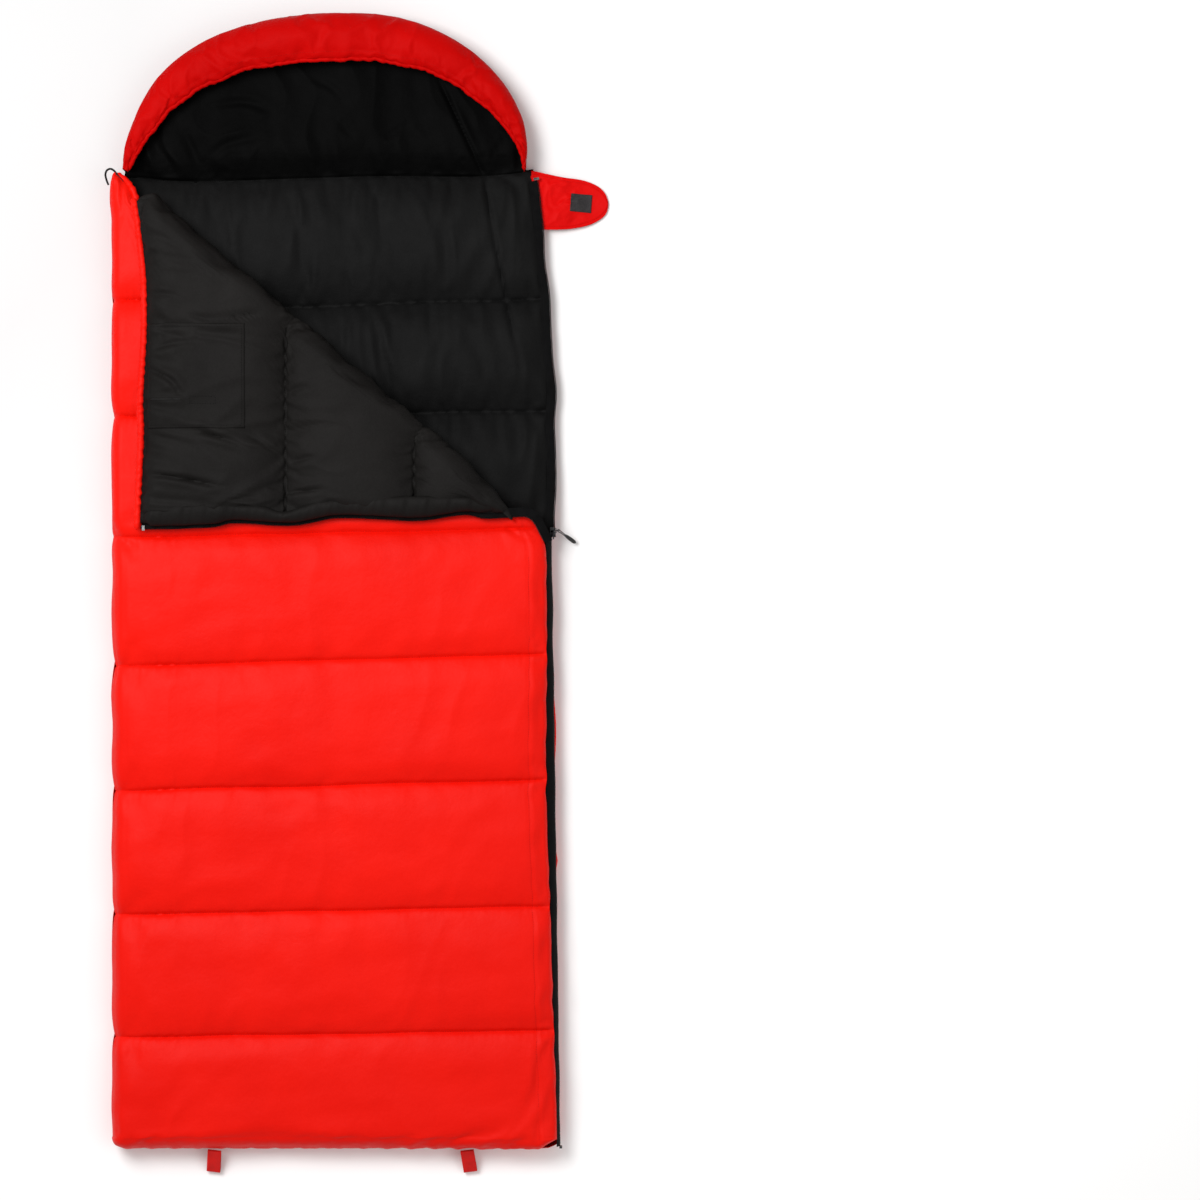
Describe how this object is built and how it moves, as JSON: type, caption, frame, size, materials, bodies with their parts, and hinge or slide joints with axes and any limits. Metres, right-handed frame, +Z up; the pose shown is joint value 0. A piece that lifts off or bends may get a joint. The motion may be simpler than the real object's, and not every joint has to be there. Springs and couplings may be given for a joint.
{
  "type": "rectangular sleeping bag",
  "caption": "Rectangular quilted sleeping bag with a padded hood, part unzipped with one corner of its top quilt folded back.",
  "frame": {"origin": "on the floor, under the middle of the bag's overall length and midway between the side fold and the closed zip", "axes": "+Y along the bag towards the hood, +X towards the zip, +Z up"},
  "size_m": [0.9874, 2.2506, 0.1264],
  "materials": {
    "outer_cloth": "red plain-weave polyester with a soft sheen",
    "lining": "black brushed polyester",
    "wadding": "white hollow-fibre wadding",
    "zip_tape": "black woven tape",
    "zip_coil": "black nylon coil",
    "zip_metal": "black enamelled die-cast metal",
    "cord": "black braided cord",
    "rubber": "black moulded grip",
    "hook_loop": "black hook-and-loop tape",
    "webbing": "red woven webbing"
  },
  "bodies": {
    "bag": {"base_shell": "outer_cloth", "base_fill": "wadding", "base_lining": "lining", "top_shell": "outer_cloth", "top_fill": "wadding", "top_lining": "lining", "side_fold_shell": "outer_cloth", "side_fold_fill": "wadding", "side_fold_lining": "lining", "foot_shell": "outer_cloth", "foot_fill": "wadding", "foot_lining": "lining", "fold_roll_lining": "lining", "fold_roll_fill": "wadding", "tip_neck_hem": "outer_cloth", "tip_neck_cord": "cord", "drawcord_loop": "cord", "closed_tape_upper": "zip_tape", "closed_tape_lower": "zip_tape", "closed_coil_upper": "zip_coil", "closed_coil_lower": "zip_coil", "closed_draft_tube": "lining", "zip_bottom_stop": "zip_metal", "base_tape": "zip_tape", "base_coil": "zip_coil", "base_top_stop": "zip_metal"},
    "flap": {"flap_shell": "outer_cloth", "flap_fill": "wadding", "flap_lining": "lining", "flap_neck_hem": "outer_cloth", "flap_neck_cord": "cord", "flap_tape": "zip_tape", "flap_coil": "zip_coil", "flap_top_stop": "zip_metal", "flap_draft_tube": "lining", "pocket_panel": "lining", "pocket_closure": "hook_loop", "loop_patch": "hook_loop"},
    "hood": {"hood_shell": "outer_cloth", "hood_fill": "wadding", "hood_lining": "lining", "brim_shell": "outer_cloth", "brim_fill": "wadding", "brim_lining": "lining", "brim_hem": "outer_cloth", "hood_cord": "cord"},
    "slider": {"slider_body": "zip_metal"},
    "pull": {"pull_ring": "zip_metal"},
    "grip": {"pull_cord": "cord", "pull_grip": "rubber"},
    "tab": {"closing_tab": "outer_cloth", "hook_patch": "hook_loop"},
    "left_loop": {"hang_loop_left": "webbing"},
    "right_loop": {"hang_loop_right": "webbing"}
  },
  "joints": [
    {"name": "flap_fold", "type": "hinge", "parent": "bag", "child": "flap", "pos_m": [-0.372, 0.732, 0.078], "axis": [-0.7625, 0.647, 0], "range_deg": [0, 175], "deforming": ["fold_roll_lining", "fold_roll_fill"]},
    {"name": "hood_fold", "type": "hinge", "parent": "bag", "child": "hood", "pos_m": [-0.0115, 0.792, 0.0335], "axis": [-1, 0, 0], "range_deg": [-80, 0]},
    {"name": "tab_fold", "type": "hinge", "parent": "bag", "child": "tab", "pos_m": [0.41173, 0.71, 0.03], "axis": [0.097, -0.9953, 0], "range_deg": [0, 150]},
    {"name": "slider_travel", "type": "slide", "parent": "bag", "child": "slider", "axis": [0.0142, -0.9999, 0], "range_m": [0, 1.165], "deforming": ["closed_coil_upper", "closed_coil_lower"]},
    {"name": "pull_swing", "type": "hinge", "parent": "slider", "child": "pull", "pos_m": [0.43494, 0.09961, 0.038], "axis": [0.0142, -0.9999, 0], "range_deg": [0, 95]},
    {"name": "grip_swing", "type": "hinge", "parent": "pull", "child": "grip", "pos_m": [0.43966, 0.09968, 0.03431], "axis": [0.6156, 0.0088, 0.788], "range_deg": [-50, 60]},
    {"name": "left_loop_swing", "type": "hinge", "parent": "bag", "child": "left_loop", "pos_m": [-0.228, -1.10338, 0.038], "axis": [-0.9925, 0.1219, 0], "range_deg": [0, 115]},
    {"name": "right_loop_swing", "type": "hinge", "parent": "bag", "child": "right_loop", "pos_m": [0.262, -1.10338, 0.038], "axis": [-0.9925, -0.1219, 0], "range_deg": [0, 115]}
  ]
}
